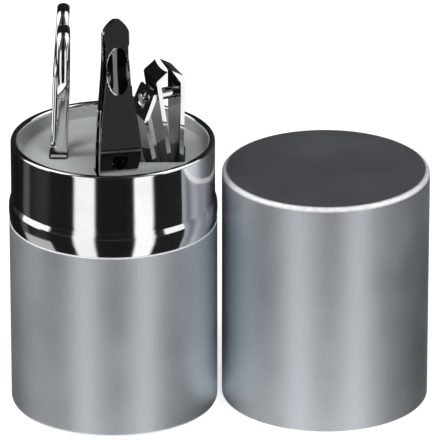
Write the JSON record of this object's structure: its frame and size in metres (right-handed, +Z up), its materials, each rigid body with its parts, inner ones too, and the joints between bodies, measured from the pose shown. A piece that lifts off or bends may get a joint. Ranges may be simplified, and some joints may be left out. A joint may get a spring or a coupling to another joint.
{
  "type": "manicure set case",
  "caption": "Round metal manicure case with a lift-off lid standing beside it, and scissors and nail clippers standing in a holder inside its polished neck.",
  "frame": {"origin": "centre of the case's flat bottom", "axes": "+Z up, -Y to the front, +X towards the lid that stands beside the case"},
  "size_m": [0.1335, 0.0707, 0.1365],
  "materials": {
    "shell_metal": "satin",
    "lid_metal": "satin",
    "neck_metal": "polished",
    "holder_plastic": "matte",
    "tool_chrome": "polished"
  },
  "bodies": {
    "case": {"base_shell": "shell_metal", "neck_ring": "neck_metal", "inner_cup": "holder_plastic", "holder_plate": "holder_plastic", "scissors_pocket": "holder_plastic", "deep_pocket": "holder_plastic", "shallow_pocket": "holder_plastic"},
    "lid": {"lid_shell": "lid_metal"},
    "scissors": {"scissors_near_half": "tool_chrome", "scissors_screw": "tool_chrome"},
    "scissors_far": {"scissors_far_half": "tool_chrome"},
    "clipper_a": {"clipper_a_fixed_arm": "tool_chrome", "clipper_a_rivet": "tool_chrome"},
    "clipper_a_arm": {"clipper_a_moving_arm": "tool_chrome"},
    "clipper_a_swivel": {"clipper_a_post": "tool_chrome"},
    "clipper_a_handle": {"clipper_a_lever": "tool_chrome"},
    "clipper_b": {"clipper_b_fixed_arm": "tool_chrome", "clipper_b_rivet": "tool_chrome"},
    "clipper_b_arm": {"clipper_b_moving_arm": "tool_chrome"},
    "clipper_b_swivel": {"clipper_b_post": "tool_chrome"},
    "clipper_b_handle": {"clipper_b_lever": "tool_chrome"}
  },
  "joints": [
    {"name": "lid_lift", "type": "slide", "parent": "case", "child": "lid", "axis": [0, 0, 1], "range_m": [0, 0.14]},
    {"name": "scissors_lift", "type": "slide", "parent": "case", "child": "scissors", "axis": [0.0419, 0, 0.9991], "range_m": [0, 0.06]},
    {"name": "scissors_open", "type": "hinge", "parent": "scissors", "child": "scissors_far", "pos_m": [-0.0171, 0, 0.0826], "axis": [-0.9991, 0, 0.0419], "range_deg": [0, 25]},
    {"name": "clipper_a_lift", "type": "slide", "parent": "case", "child": "clipper_a", "axis": [-0.07, -0.0269, 0.9972], "range_m": [0, 0.05]},
    {"name": "clipper_a_squeeze", "type": "hinge", "parent": "clipper_a", "child": "clipper_a_arm", "pos_m": [0.01932, 0.00118, 0.06771], "axis": [-0.3584, 0.9336, 0], "range_deg": [0, 1.6], "stiffness_Nm_per_rad": 0.5},
    {"name": "clipper_a_post_turn", "type": "hinge", "parent": "clipper_a", "child": "clipper_a_swivel", "pos_m": [0.01675, 0.0002, 0.10431], "axis": [-0.931, -0.3574, -0.075], "range_deg": [-1, 1]},
    {"name": "clipper_a_lever_tilt", "type": "hinge", "parent": "clipper_a_swivel", "child": "clipper_a_handle", "pos_m": [0.01138, -0.00186, 0.10608], "axis": [-0.3584, 0.9336, 0], "range_deg": [0, 2]},
    {"name": "clipper_b_lift", "type": "slide", "parent": "case", "child": "clipper_b", "axis": [0, 0, 1], "range_m": [0, 0.05]},
    {"name": "clipper_b_squeeze", "type": "hinge", "parent": "clipper_b", "child": "clipper_b_arm", "pos_m": [0.00115, -0.0155, 0.1265], "axis": [0.9816, 0.1908, 0], "range_deg": [0, 1.6], "stiffness_Nm_per_rad": 0.5},
    {"name": "clipper_b_post_turn", "type": "hinge", "parent": "clipper_b", "child": "clipper_b_swivel", "pos_m": [0.00115, -0.0155, 0.0898], "axis": [0.1908, -0.9816, 0], "range_deg": [-25, 25]},
    {"name": "clipper_b_lever_tilt", "type": "hinge", "parent": "clipper_b_swivel", "child": "clipper_b_handle", "pos_m": [0.00222, -0.021, 0.0876], "axis": [0.9816, 0.1908, 0], "range_deg": [0, 45]}
  ]
}
